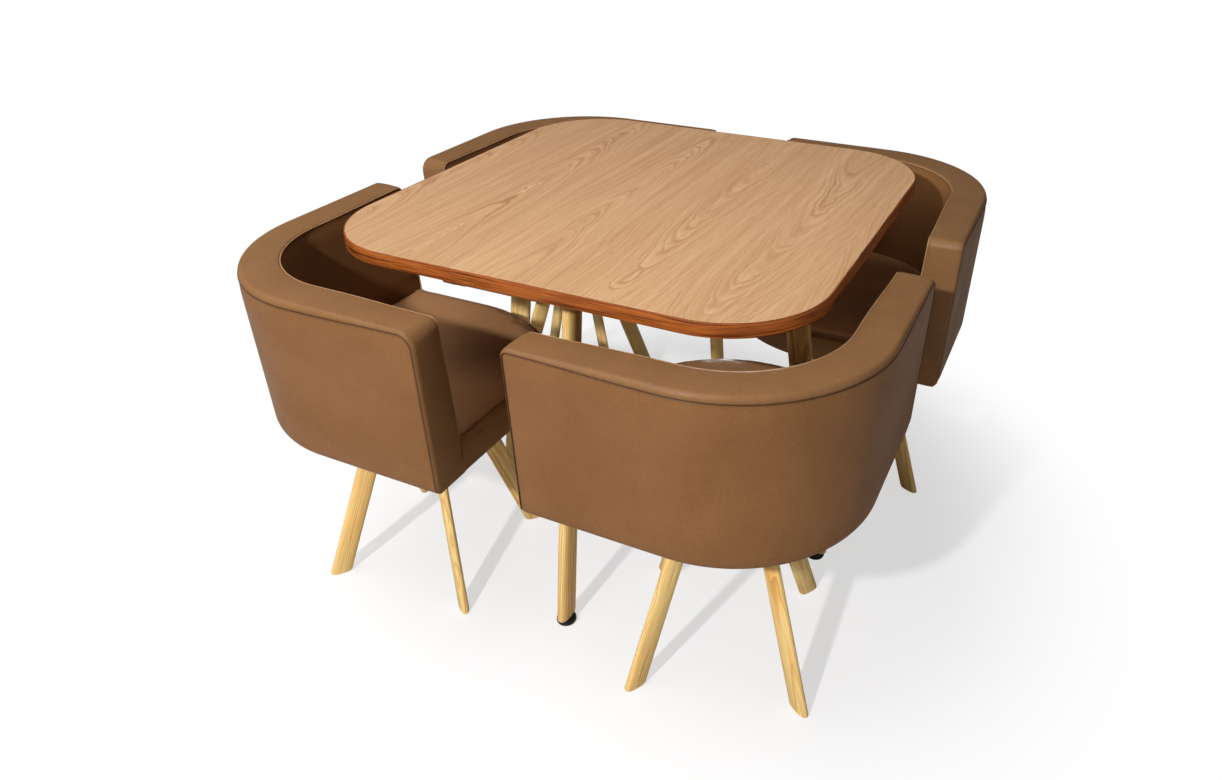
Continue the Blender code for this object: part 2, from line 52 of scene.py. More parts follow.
# Sizes read from the frame, in metres
band_low, band_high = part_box("chair_left_rim_band")
table_low, table_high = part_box("table_edge_band")
cushion_low, cushion_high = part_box("chair_left_seat_cushion")
HALF_CHAIR = (band_high.x - band_low.x) / 2
RIM_HEIGHT = band_high.z
SHELL_BOTTOM = band_low.z
BOARD_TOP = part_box("chair_left_seat_board")[1].z
BORDER_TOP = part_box("chair_left_seat_border")[1].z
CUSHION_LOW = cushion_low.z
CUSHION_HIGH = cushion_high.z
TABLE_MIDDLE = (table_low + table_high) / 2
TABLE_MIDDLE.z = 0
TABLE_HEIGHT = table_high.z
TOP_UNDERSIDE = table_low.z
HALF_TABLE = (table_high.x - table_low.x) / 2

# Shell of a chair, as the solids have it
GAP = 0.0003
BAND = 0.012
STACK_TOP = RIM_HEIGHT - BAND
WALL = 0.070
BACK_RADIUS = 0.270
FRONT_RADIUS = 0.250
WALL_LEAN = 0.016
TURN_UNDER = 0.008
ARM_END = HALF_CHAIR - BAND
STRAIGHT = ARM_END + HALF_CHAIR - BACK_RADIUS
ARC = BACK_RADIUS * pi / 2
WALL_LENGTH = 2 * STRAIGHT + ARC
TURN_TOP = BOARD_TOP + GAP
ARM_TAPER = 0.006
TAPER_REACH = 0.200

# Seams: how deep they lie under the strip at arm ends and rim, their round corners at the two arms,
# and how fast the painted shade of their dark line fades
END_SEAM = 0.0042
RIM_SEAM_AT_ENDS = 0.0055
RIM_SEAM_AT_BACK = 0.0115
INNER_SEAM = 0.0030
SEAM_CORNERS = (0.024, 0.009)
INNER_CORNER = 0.015
SEAM_SHADE = 0.0016
INNER_SHADE = 0.0012

# The strip over rim, arm ends and seat front, with its mitres, ripples and welts
END_STEPS = 14
CORNER_STEPS = 12
RIM_STEPS = 44
RIM_CROWDING = 1.25
UP_STEPS = 8
FILLET = 0.016
SET_BACK = 0.001
OUTER_ROLL = 0.0075
INNER_ROLL = 0.0035
BAND_DOME = 0.0016
TUCKS = (0.0040, 0.0012)
TUCK_DEPTH = 0.0012
MITRE_WIDTH = 0.07
MITRE_DEPTH = 0.0014
RIPPLES = ((0.00020, 1.7, 0.0), (0.00016, 0.71, 1.2))
OUTER_WELT = 0.0006
INNER_WELT = 0.0015
OUTER_WELT_SHIFT = 0.2
INNER_WELT_SHIFT = 0.5
# Painted shade laid evenly over both welts
WELT_SHADE = 0.05

# The leather panels outside and inside
PANEL_PUFF = 0.0016
INNER_PUFF = 0.0035
PANEL_EDGE = 0.0034
PUFF_REACH = 0.030
LEATHER = 0.0014
HEM = 0.034
HEM_DROP = 0.0009
HEM_FOLD = 0.004
EDGE_PLACES = (0.0, 0.0006, 0.0014, 0.0024, 0.0038, 0.0056, 0.008, 0.0115, 0.016, 0.022, 0.030, 0.040)
UPPER_SHARES = (0.88, 0.915, 0.94, 0.957, 0.969, 0.978, 0.985, 0.990, 0.994, 0.9975, 1.0)

# The seat cushion, and its leather as cloth that is held where the group "pins" is
CUSHION_ROUND = 0.012
CUSHION_EDGE = 0.0040
CUSHION_DRAWN = 0.0015
CUSHION_GRID = 44
CUSHION_CAP = 0.004
CUSHION_FULL = 0.006
CUSHION_CLEAR = 0.0012
CUSHION_CORNER = 0.014
LEAST_CORNER = 0.003
CLOTH = {"quality": 5, "mass": 0.3, "tension_stiffness": 12, "compression_stiffness": 12,
         "shear_stiffness": 5, "bending_stiffness": 2, "use_pressure": True,
         "uniform_pressure_force": 4, "vertex_group_mass": "pins"}
CLOTH_FRAMES = 20
CLOTH_SIDEWAYS = 0.3

# Wood
TOP_CORNER = 0.174
TOP_STEPS = 32
BROKEN_EDGE = 0.0006
EDGE_BAND = 0.002
EDGE_ROUND = 0.0012
EDGE_LOW = TOP_UNDERSIDE + 0.0002
EDGE_HIGH = TABLE_HEIGHT - 0.0001
TABLE_LEG = (0.048, 0.024)
CHAIR_LEG = (0.042, 0.018)
FOOT_ROUNDING = 0.004
LEG_FULLNESS = 0.78
LEG_END = 0.0005
STRIP_WIDTH = 0.184
STRIP_SHIFT = -0.055
TOP_RING = 0.0072
LEG_RING = 0.0036

# Half sections from the top down: radius and drop, but for a glide's shoulder how far inside the
# sole's edge and the drop, and for its sole how far inside the edge and the height
AXIS = 0.0001
GLIDE_COLLAR_HEIGHT = 0.012
GLIDE_STEM = ((AXIS, 0.001), (0.0036, 0.001), (0.0040, 0.002))
GLIDE_COLLAR = ((0.0040, 0.0), (0.0100, 0.0), (0.0102, 0.0008))
GLIDE_SHOULDER = ((0.003, 0.0012), (0.0012, 0.0020), (0.0003, 0.0036), (0.0, 0.0056))
GLIDE_SOLE = ((0.0, 0.0034), (0.0006, 0.0016), (0.0022, 0.0004), (0.0040, 0.0))
SCREW = ((AXIS, 0.0001), (0.0048, 0.0001), (0.0050, 0.0010), (0.0042, 0.0021), (0.0026, 0.0027),
         (0.0024, 0.0014), (AXIS, 0.0014))
SCREW_FROM_CORNER = 0.020

# Camera that was fitted to the photograph, from the table's middle on the floor
CAMERA_FROM_TABLE = (0.7807, -1.5214, 1.3656)
CAMERA_AZIMUTH = 25.125
CAMERA_ELEVATION = 24.416
CAMERA_LENS = 27.545
CAMERA_SHIFT = (-0.05757, -0.09932)
SENSOR_WIDTH = 36

# Lamps: place from the table's middle on the floor, diameter and power
LIGHTS = {"key": ((-0.135, -3.32, 2.61), 0.16, 126), "softbox": ((-1.08, -0.76, 3.15), 2.6, 59),
          "side_fill": ((3.00, -1.00, 1.00), 1.2, 8), "back_fill": ((-1.00, 3.20, 0.26), 0.4, 18)}
LIGHTS_AIM = 0.5
WORLD_STRENGTH = 0.14

# Floor: where its fade to white starts and ends, and how much of it glows inside the fade
FLOOR_SIZE = 40
FLOOR_DROP = 0.0004
FLOOR_FADE = (0.60, 1.11)
FLOOR_GLOW = 0.61


def srgb(red, green, blue):
    """A colour given as it looks, from 0 to 255, as linear values."""
    shares = (red / 255, green / 255, blue / 255)
    return (*(s / 12.92 if s <= 0.04045 else ((s + 0.055) / 1.055) ** 2.4 for s in shares), 1)


# Meshes


def add_object(name, data):
    item = bpy.data.objects.new(name, data)
    bpy.context.scene.collection.objects.link(item)
    return item


def make_piece(name, points, faces, material, sharp=None, seam=None):
    """A smooth mesh with its faces turned outward. It is sharp over an angle in degrees, and seam is
    each point's nearness to a seam, stored as an attribute that paints shade into the leather there."""
    mesh = bpy.data.meshes.new(name)
    mesh.from_pydata([tuple(point) for point in points], [], faces)
    mesh.update()
    bm = bmesh.new()
    bm.from_mesh(mesh)
    bmesh.ops.recalc_face_normals(bm, faces=bm.faces)
    if bm.calc_volume(signed=True) < 0:
        bmesh.ops.reverse_faces(bm, faces=bm.faces)
    bm.to_mesh(mesh)
    bm.free()
    mesh.shade_smooth()
    if sharp:
        mesh.set_sharp_from_angle(angle=radians(sharp))
    mesh.materials.append(material)
    if seam:
        attribute = mesh.attributes.new("seam", "FLOAT", "POINT")
        attribute.data.foreach_set("value", np.array(seam, np.float32))
    return add_object(name, mesh)


def numbered(rows, first=0):
    """Numbers of the points in rows of as many points each."""
    count = len(rows[0])
    return [list(range(first + r * count, first + (r + 1) * count)) for r in range(len(rows))]


def quads(rows, around):
    """Faces between neighbouring rows of point numbers; around closes each row."""
    faces = []
    for here, there in zip(rows, rows[1:]):
        for k in range(len(here) if around else len(here) - 1):
            after = (k + 1) % len(here)
            faces.append((here[k], here[after], there[after], there[k]))
    return faces


def loft(rings, closed):
    """Points and faces of a tube through rings of as many points each."""
    rows = numbered(rings)
    points = [point for ring in rings for point in ring]
    if closed:
        return points, quads(rows + rows[:1], True)
    return points, quads(rows, True) + [tuple(reversed(rows[0])), tuple(rows[-1])]


def sheet(name, rows, material):
    """Leather from rows of points, each with its nearness to a seam, which sets the shade painted there.
    Its thickness lies away from the side that it faces."""
    points = [point for row in rows for point, _ in row]
    seam = [near for row in rows for _, near in row]
    item = make_piece(name, points, quads(numbered(rows), False), material, seam=seam)
    bm = bmesh.new()
    bm.from_mesh(item.data)
    bmesh.ops.solidify(bm, geom=bm.faces[:], thickness=LEATHER)
    bmesh.ops.recalc_face_normals(bm, faces=bm.faces)
    bm.to_mesh(item.data)
    bm.free()
    return item


def even(low, high, steps):
    return [low + (high - low) * step / steps for step in range(steps + 1)]


def smoothstep(value):
    value = min(1.0, max(0.0, value))
    return value * value * (3 - 2 * value)


def rolled(share):
    """Fall of a quarter round: all of it at its edge, none at a share of 1."""
    return 1 - sqrt(max(0.0, 1 - (1 - share) ** 2))


# The chair's wall, straight at first and then bent round the back corner


def lean(z):
    """How far the wall lies inward of its rim at a height, with its lower edge turned under."""
    inward = WALL_LEAN * (STACK_TOP - z) / (STACK_TOP - SHELL_BOTTOM) if z < STACK_TOP else 0.0
    if z < TURN_TOP:
        down = min(1.0, (TURN_TOP - z) / (TURN_TOP - SHELL_BOTTOM))
        inward += TURN_UNDER * (1 - sqrt(1 - down * down))
    return inward


def wall_point(along, inward, z):
    """A point of the bent wall, in the chair's own axes."""
    offset = inward + lean(z)
    corner = -HALF_CHAIR + BACK_RADIUS
    if along <= STRAIGHT:
        return Vector((ARM_END - along, -HALF_CHAIR + offset, z))
    if along >= STRAIGHT + ARC:
        return Vector((-HALF_CHAIR + offset, corner + along - STRAIGHT - ARC, z))
    angle = (along - STRAIGHT) / BACK_RADIUS
    radius = BACK_RADIUS - offset
    return Vector((corner - radius * sin(angle), corner - radius * cos(angle), z))


def taper(along, z):
    """How much thinner the wall is near its arm ends, above the seat."""
    end = min(along, WALL_LENGTH - along)
    near = 1 - smoothstep(end / TAPER_REACH)
    return ARM_TAPER * near * smoothstep((z - CUSHION_HIGH) / (RIM_HEIGHT - CUSHION_HIGH))


def rim_seam(along):
    """How far the outer seam lies under the rim's top."""
    middle = sin(pi * min(1.0, max(0.0, along / WALL_LENGTH)))
    return RIM_SEAM_AT_ENDS + (RIM_SEAM_AT_BACK - RIM_SEAM_AT_ENDS) * smoothstep(middle * 1.3)


def inner_wall(along, z):
    return wall_point(along, WALL - taper(along, z), z)


def arm_stations(corner):
    """Stations of one arm: up its end, round its top corner and along the rim to the back's middle."""
    end = END_SEAM - BAND
    inner_end = INNER_SEAM - BAND
    ahead = Vector((1, 0, 0))
    up = Vector((0, 0, 1))
    top = RIM_HEIGHT - RIM_SEAM_AT_ENDS
    inner_top = RIM_HEIGHT - INNER_SEAM
    low = BORDER_TOP + FILLET
    stations = []
    for share in even(0, 1, END_STEPS)[1:]:
        outer = wall_point(end, 0, low + (top - corner - low) * share)
        inner = inner_wall(inner_end, low + (inner_top - INNER_CORNER - low) * share)
        stations.append((outer, inner, ahead, END_SEAM, INNER_SEAM, 0.0))
    for angle in even(0, pi / 2, CORNER_STEPS)[1:]:
        turn = 1 - cos(angle)
        drop = 1 - sin(angle)
        outer = wall_point(end + corner * turn, 0, top - corner * drop)
        inner = inner_wall(inner_end + INNER_CORNER * turn, inner_top - INNER_CORNER * drop)
        way = Vector((cos(angle), 0, sin(angle)))
        depth = END_SEAM + (RIM_SEAM_AT_ENDS - END_SEAM) * angle * 2 / pi
        stations.append((outer, inner, way, depth, INNER_SEAM, 0.0))
    first = end + corner
    inner_first = inner_end + INNER_CORNER
    middle = WALL_LENGTH / 2
    for step in range(1, RIM_STEPS + 1):
        share = (step / RIM_STEPS) ** RIM_CROWDING
        along = first + (middle - first) * share
        inner_along = inner_first + (middle - inner_first) * share
        drop = rim_seam(along)
        outer = wall_point(along, 0, RIM_HEIGHT - drop)
        stations.append((outer, inner_wall(inner_along, inner_top), up, drop, INNER_SEAM, 0.0))
    return stations


def border_stations():
    """Stations from the middle of the seat's front to an arm end, with the mitre between them."""
    front_centre = HALF_CHAIR - FRONT_RADIUS
    radius = FRONT_RADIUS - BAND
    depth = BAND - SET_BACK
    stations = []
    for angle in even(pi / 4, 0, 14):
        way = Vector((cos(angle), sin(angle), 0))
        middle = Vector((front_centre, front_centre, 0)) + way * (radius + SET_BACK)
        outer = middle + Vector((0, 0, SHELL_BOTTOM))
        stations.append((outer, middle + Vector((0, 0, BORDER_TOP)), way, depth, depth, 0.0))
    ahead = Vector((1, 0, 0))
    face = ARM_END + SET_BACK
    corner_y = -HALF_CHAIR + WALL + lean(BORDER_TOP)
    centre_y = corner_y + FILLET
    centre_z = BORDER_TOP + FILLET
    for y in even(front_centre, centre_y, 16)[1:-1]:
        outer = Vector((face, y, SHELL_BOTTOM))
        stations.append((outer, Vector((face, y, BORDER_TOP)), ahead, depth, depth, 0.0))
    foot_y = -HALF_CHAIR + lean(SHELL_BOTTOM)
    rise = centre_z - SHELL_BOTTOM
    outer_line = [(centre_y + (corner_y - centre_y) * share, SHELL_BOTTOM) for share in even(0, 1, 14)]
    outer_line += [(corner_y + (foot_y - corner_y) * share, SHELL_BOTTOM) for share in even(0, 1, 6)[1:]]
    outer_line += [(None, SHELL_BOTTOM + rise * share) for share in even(0, 1, UP_STEPS)[1:]]
    for number, (y, z) in enumerate(outer_line):
        share = number / (len(outer_line) - 1)
        angle = pi / 2 * (1 - share)
        inner_x = face + (depth - INNER_SEAM) * smoothstep(share)
        inner = Vector((inner_x, centre_y - FILLET * cos(angle), centre_z - FILLET * sin(angle)))
        outer_x = face + (depth - END_SEAM) * smoothstep(share * 2)
        outer = wall_point(END_SEAM - BAND, 0, z) if y is None else Vector((outer_x, y, z))
        crease = exp(-((share - 0.5) / MITRE_WIDTH) ** 2)
        outer_depth = ARM_END + BAND - outer_x
        stations.append((outer, inner, ahead, outer_depth, ARM_END + BAND - inner_x, crease))
    return stations


def mirrored(stations):
    """The same stations on the chair's other side of its diagonal, in the other order."""

    def swap(point):
        return Vector((point.y, point.x, point.z))

    return [(swap(a), swap(b), swap(way), *rest) for a, b, way, *rest in reversed(stations)]


def band_stations():
    """The strip round rim, arm ends and seat front, as a closed loop of stations: outer seam,
    inner seam, outward way, depth of each seam and the mitre's crease. Also how many stations the
    border and one half of the loop have."""
    first = border_stations() + arm_stations(SEAM_CORNERS[0])
    second = border_stations() + arm_stations(SEAM_CORNERS[1])
    return first + mirrored(second[1:-1]), len(border_stations()), len(first)


def band_section(width, outer_depth, inner_depth):
    """Places across the strip, heights over its seams' level and nearness to a seam, which sets the shade
    painted there.
    """
    outer_roll = min(OUTER_ROLL, 0.3 * width)

    def height(place):
        share = place / width
        level = outer_depth * (1 - share) + inner_depth * share
        level += BAND_DOME * sin(pi * share) ** 0.8
        if place < outer_roll:
            level -= rolled(place / outer_roll) * outer_depth
        if width - place < INNER_ROLL:
            level -= rolled((width - place) / INNER_ROLL) * inner_depth
        return level

    # Painted shade: the tucks into the seams get it in full, and the rolls get darker towards each seam
    points = [(tuck, -TUCK_DEPTH, 1.0) for tuck in TUCKS]
    for angle in even(0, pi / 2, 8):
        place = outer_roll * (1 - cos(angle))
        points.append((place, height(place), exp(-height(place) / SEAM_SHADE) if angle else 1.0))
    inner = width - outer_roll - INNER_ROLL
    for share in even(0, 1, 12)[1:-1]:
        place = outer_roll + inner * share
        points.append((place, height(place), 0.0))
    for angle in even(pi / 2, 0, 6):
        place = width - INNER_ROLL * (1 - cos(angle))
        points.append((place, height(place), exp(-height(place) / INNER_SHADE) if angle else 1.0))
    return points + [(width - tuck, -TUCK_DEPTH, 1.0) for tuck in reversed(TUCKS)]


def band_piece(material):
    """The padded strip round the chair."""
    rings = []
    nearness = []
    for number, (outer, inner, way, outer_depth, inner_depth, crease) in enumerate(band_stations()[0]):
        across = inner - outer
        width = across.length
        across = across / width
        ripple = sum(size * sin(number * pace + start) for size, pace, start in RIPPLES)
        ring = []
        for place, height, near in band_section(width, outer_depth, inner_depth):
            share = place / width
            fold = crease * smoothstep((share - 0.35) / 0.45)
            if height > 0:
                height += ripple * (1 - abs(2 * share - 1)) - MITRE_DEPTH * fold
            ring.append(outer + across * place + way * height)
            # Painted shade along the mitre's crease, half as strong as in a seam
            nearness.append(max(near, 0.5 * fold))
        rings.append(ring)
    return make_piece("band", *loft(rings, True), material, seam=nearness)


def tube(name, path, ways, radius, closed, material, sides=10):
    """A round welt along a path; the ways give each point's outward direction."""
    rings = []
    count = len(path)
    for number in range(count):
        before = path[number - 1] if closed or number else path[0]
        after = path[(number + 1) % count] if closed or number < count - 1 else path[-1]
        tangent = (after - before).normalized()
        out = (ways[number] - tangent * ways[number].dot(tangent)).normalized()
        across = tangent.cross(out)
        rings.append([path[number] + out * radius * cos(angle) + across * radius * sin(angle)
                      for angle in even(0, 2 * pi, sides)[:-1]])
    # Painted shade: every point of a welt gets the same light WELT_SHADE darkening
    return make_piece(name, *loft(rings, closed), material, seam=[WELT_SHADE] * sides * count)


def outer_welt(material):
    """The thin welt of the outer seam, from one arm end's foot over the rim to the other's. Its dark
    leather paints the shade in the seam's groove.
    """
    stations, border, half = band_stations()
    corner = border - 1 - UP_STEPS
    stations = stations[corner:2 * half - 1 - corner]
    ways = [station[2] for station in stations]
    path = [station[0] + station[2] * OUTER_WELT * OUTER_WELT_SHIFT for station in stations]
    return tube("outer_welt", path, ways, OUTER_WELT, False, material)


def inner_welt(material):
    """The welt of the inner seam, a closed loop over rim, arm ends and seat front."""
    path = []
    ways = []
    for outer, inner, way, *_ in band_stations()[0]:
        across = (inner - outer).normalized()
        path.append(inner + across * INNER_WELT * INNER_WELT_SHIFT + way * INNER_WELT * INNER_WELT_SHIFT)
        ways.append(way)
    return tube("inner_welt", path, ways, INNER_WELT, True, material)


def seam_end(along, corners):
    """How far a place lies from the nearer arm end's seam, and the radius of that seam's corner."""
    left = along - (END_SEAM - BAND)
    right = WALL_LENGTH - (END_SEAM - BAND) - along
    return min(left, right), corners[0] if left < right else corners[1]


def seam_outline(along, depth, corners):
    """Top of a panel at a place along the wall, under its seam's round corners."""
    near, radius = seam_end(along, corners)
    top = RIM_HEIGHT - depth
    if near >= radius:
        return top
    return top - radius + sqrt(max(0.0, radius ** 2 - (radius - near) ** 2))


def seam_distance(along, z, depth, corners):
    """How far a place on the straight wall lies inside the seam's outline."""
    near, radius = seam_end(along, corners)
    top = RIM_HEIGHT - depth - z
    if near < radius and top < radius:
        return radius - hypot(radius - near, radius - top)
    return min(near, top)


def wall_columns():
    """Places along the wall, closer together near the arm ends' edges."""
    first = [END_SEAM - BAND + place for place in EDGE_PLACES]
    first += even(first[-1], STRAIGHT, 14)[1:]
    middle = even(STRAIGHT, STRAIGHT + ARC, 40)[1:-1]
    return first + middle + [WALL_LENGTH - along for along in reversed(first)]


def edge_depth(distance):
    """How far a panel's surface falls away into the seam at its edge."""
    return PANEL_EDGE * rolled(distance / PANEL_EDGE) if distance < PANEL_EDGE else 0.0


def panel_shares():
    """Shares of a panel's height, closer together under its seam."""
    return even(0, 0.84, 16) + list(UPPER_SHARES)


def panel_point(along, inward, z, distance):
    """A point of a panel, with its nearness to a seam at that distance, which sets the shade painted
    there.
    """
    return wall_point(along, inward, z), exp(-distance / SEAM_SHADE)


def outer_panel(material):
    """The leather over the shell's outside, turned under at its foot."""
    rows = []
    columns = wall_columns()
    end = END_SEAM - BAND
    under = Vector((0, 0, -HEM_DROP))
    for inward in (HEM, HEM * 0.5, HEM_FOLD):
        rows.append([(wall_point(along, inward, SHELL_BOTTOM) + under, 0.0) for along in columns])
    for angle in even(pi / 2, 0, 7):
        z = TURN_TOP - (TURN_TOP - SHELL_BOTTOM) * sin(angle)
        rows.append([])
        for along in columns:
            distance = min(along - end, WALL_LENGTH - end - along)
            puff = PANEL_PUFF * smoothstep(distance / PUFF_REACH) * cos(angle)
            rows[-1].append(panel_point(along, edge_depth(distance) - puff, z, distance))
    for share in panel_shares()[1:]:
        rows.append([])
        for along in columns:
            depth = rim_seam(along)
            z = TURN_TOP + (seam_outline(along, depth, SEAM_CORNERS) - TURN_TOP) * share
            distance = max(0.0, seam_distance(along, z, depth, SEAM_CORNERS))
            puff = PANEL_PUFF * smoothstep(distance / PUFF_REACH)
            rows[-1].append(panel_point(along, edge_depth(distance) - puff, z, distance))
    return sheet("outer_leather", rows, material)


def inner_panel(material):
    """The leather over the padding inside, down to the seat board."""
    rows = []
    corners = (INNER_CORNER, INNER_CORNER)
    for share in panel_shares():
        rows.append([])
        for along in wall_columns():
            z = TURN_TOP + (seam_outline(along, INNER_SEAM, corners) - TURN_TOP) * share
            distance = max(0.0, seam_distance(along, z, INNER_SEAM, corners))
            puff = INNER_PUFF * smoothstep(distance / PUFF_REACH)
            puff *= smoothstep((z - CUSHION_HIGH) / PUFF_REACH)
            inward = WALL - taper(along, z) - edge_depth(distance) + puff
            rows[-1].append(panel_point(along, inward, z, distance))
    return sheet("inner_leather", rows, material)


# Seat cushion


def arc_points(centre, radius, start, end, steps, z=0):
    angles = even(radians(start), radians(end), steps)
    return [Vector((centre[0] + radius * cos(a), centre[1] + radius * sin(a), z)) for a in angles]


def resample(points, steps):
    """As many even steps along a line of points."""
    lengths = [0.0]
    for first, second in zip(points, points[1:]):
        lengths.append(lengths[-1] + (second - first).length)
    places = np.linspace(0, lengths[-1], steps + 1)
    axes = [np.interp(places, lengths, [point[axis] for point in points]) for axis in range(3)]
    return [Vector(values) for values in zip(*axes)]


def cushion_sides(inset):
    """The cushion's outline as four lines that meet at its four patch corners."""
    back = -HALF_CHAIR + WALL + lean(TURN_TOP) + CUSHION_CLEAR + inset
    front = HALF_CHAIR - BAND - GAP - inset
    corner = -HALF_CHAIR + BACK_RADIUS
    centre = HALF_CHAIR - FRONT_RADIUS
    side = max(CUSHION_CORNER - inset, LEAST_CORNER)
    side_centre = (front - side, back + side)
    one = arc_points((corner, corner), corner - back, 225, 270, 16)
    one += arc_points(side_centre, side, 270, 315, 4)
    two = arc_points(side_centre, side, 315, 360, 4)
    two += arc_points((centre, centre), front - centre, 0, 45, 16)
    lines = [resample(one, CUSHION_GRID), resample(two, CUSHION_GRID)]
    return lines + [[Vector((p.y, p.x, 0)) for p in reversed(line)] for line in reversed(lines)]


def coons(sides):
    """Grid of points that fills four lines."""
    south, east, north, west = sides
    north = north[::-1]
    west = west[::-1]
    grid = []
    for j, v in enumerate(even(0, 1, CUSHION_GRID)):
        grid.append([])
        for i, u in enumerate(even(0, 1, CUSHION_GRID)):
            across = south[i] * (1 - v) + north[i] * v
            along = west[j] * (1 - u) + east[j] * u
            corners = (south[0] * (1 - u) + south[-1] * u) * (1 - v)
            corners += (north[0] * (1 - u) + north[-1] * u) * v
            grid[-1].append(across + along - corners)
    return grid


def cushion_piece(material):
    """A crowned pad: rings up its drawn-in sides and rounded edge, closed by a grid at each end."""
    edge_top = CUSHION_HIGH - CUSHION_EDGE
    side_top = edge_top - CUSHION_ROUND
    rings = []
    for share in even(0, 1, 6):
        drawn = CUSHION_DRAWN * sin(pi * share) + CUSHION_DRAWN * (1 - smoothstep(share * 4))
        rings.append((drawn, CUSHION_LOW + (side_top - CUSHION_LOW) * share))
    for angle in even(0, pi / 2, 6)[1:-1]:
        rings.append((CUSHION_ROUND * (1 - cos(angle)), side_top + CUSHION_ROUND * sin(angle)))
    points = []
    for inset, z in rings:
        points += [Vector((p.x, p.y, z)) for side in cushion_sides(inset) for p in side[:-1]]
    loops = [list(range(k, k + 4 * CUSHION_GRID)) for k in range(0, len(points), 4 * CUSHION_GRID)]

    def cap(inset, height):
        grid = coons(cushion_sides(inset))
        rows = numbered(grid, len(points))
        for j, row in enumerate(grid):
            for i, p in enumerate(row):
                points.append(Vector((p.x, p.y, height(i / CUSHION_GRID, j / CUSHION_GRID))))
        east = [row[-1] for row in rows]
        west = [row[0] for row in rows][::-1]
        return quads(rows, False), rows[0][:-1] + east[:-1] + rows[-1][:0:-1] + west[:-1]

    def crown(u, v):
        rise = (1 - (2 * u - 1) ** 4) * (1 - (2 * v - 1) ** 4)
        return edge_top + (CUSHION_EDGE + CUSHION_FULL - CUSHION_CAP) * rise

    upper, upper_loop = cap(CUSHION_ROUND, crown)
    lower, lower_loop = cap(CUSHION_DRAWN * 2, lambda u, v: CUSHION_LOW)
    faces = upper + [face[::-1] for face in lower] + quads([lower_loop] + loops + [upper_loop], True)
    item = make_piece("cushion", points, faces, material, seam=[0.0] * len(points))
    inflate(item, side_top)
    return item


def inflate(item, pinned_below):
    """Swell the leather over the foam as cloth under pressure, held at its sides and base."""
    mesh = item.data
    rest = np.array([vert.co for vert in mesh.vertices])
    pins = item.vertex_groups.new(name=CLOTH["vertex_group_mass"])
    for vert in mesh.vertices:
        if vert.co.z < pinned_below:
            pins.add([vert.index], 1.0, "REPLACE")
    cloth = item.modifiers.new("cloth", "CLOTH")
    for key, value in CLOTH.items():
        setattr(cloth.settings, key, value)
    cloth.settings.effector_weights.gravity = 0
    scene = bpy.context.scene
    for number in range(1, CLOTH_FRAMES + 1):
        scene.frame_set(number)
    graph = bpy.context.evaluated_depsgraph_get()
    swollen = item.evaluated_get(graph).to_mesh()
    moved = np.array([vert.co for vert in swollen.vertices])
    item.evaluated_get(graph).to_mesh_clear()
    item.modifiers.remove(cloth)
    item.vertex_groups.remove(pins)
    scene.frame_set(1)
    step = moved - rest
    length = np.linalg.norm(step, axis=1, keepdims=True)
    step *= np.minimum(1, CUSHION_CAP / np.maximum(length, 1e-9))
    step[:, :2] *= CLOTH_SIDEWAYS
    for vert, co in zip(mesh.vertices, rest + step):
        vert.co = co
    mesh.update()


# Wood and hardware


def rounded_square(half, radius, z):
    points = []
    for quarter, (x, y) in enumerate(((1, 1), (-1, 1), (-1, -1), (1, -1))):
        centre = (x * (half - radius), y * (half - radius))
        points += arc_points(centre, radius, 90 * quarter, 90 * quarter + 90, TOP_STEPS, z)
    return points


def table_board(material):
    """The board: its laminate runs to the edge band, with the edge just broken."""
    half = HALF_TABLE - EDGE_BAND
    radius = TOP_CORNER - EDGE_BAND
    rings = []
    for inset, z in ((BROKEN_EDGE, TOP_UNDERSIDE), (0, TOP_UNDERSIDE + BROKEN_EDGE),
                     (0, TABLE_HEIGHT - BROKEN_EDGE), (BROKEN_EDGE, TABLE_HEIGHT)):
        rings.append(rounded_square(half - inset, radius - inset, z))
    return make_piece("table_board", *loft(rings, False), material, sharp=25)


def edge_band(material):
    """The glued edging: a ring round the board with softly rounded outer edges."""
    section = [(EDGE_BAND, EDGE_LOW), (EDGE_ROUND, EDGE_LOW)]
    for angle in even(pi / 2, 0, 3)[1:]:
        section.append((EDGE_ROUND * (1 - cos(angle)), EDGE_LOW + EDGE_ROUND * (1 - sin(angle))))
    for angle in even(0, pi / 2, 3):
        section.append((EDGE_ROUND * (1 - cos(angle)), EDGE_HIGH - EDGE_ROUND * (1 - sin(angle))))
    section.append((EDGE_BAND, EDGE_HIGH))
    loops = [rounded_square(HALF_TABLE - inset, TOP_CORNER - inset, z) for inset, z in section]
    return make_piece("table_edging", *loft(list(zip(*loops)), True), material, sharp=50)


def leg_outline(depth, width, steps=40):
    """Section of a leg: two slightly full faces and well rounded edges."""

    def fuller(value):
        return copysign(abs(value) ** LEG_FULLNESS, value)

    angles = even(0, 2 * pi, steps)[:-1]
    return [Vector((depth / 2 * fuller(cos(a)), width / 2 * fuller(sin(a)), 0)) for a in angles]


def end_middle(points, z):
    """Middle of the box round a leg's end, at the end's height."""
    low = Vector((min(p.x for p in points), min(p.y for p in points), z))
    high = Vector((max(p.x for p in points), max(p.y for p in points), z))
    return (low + high) / 2


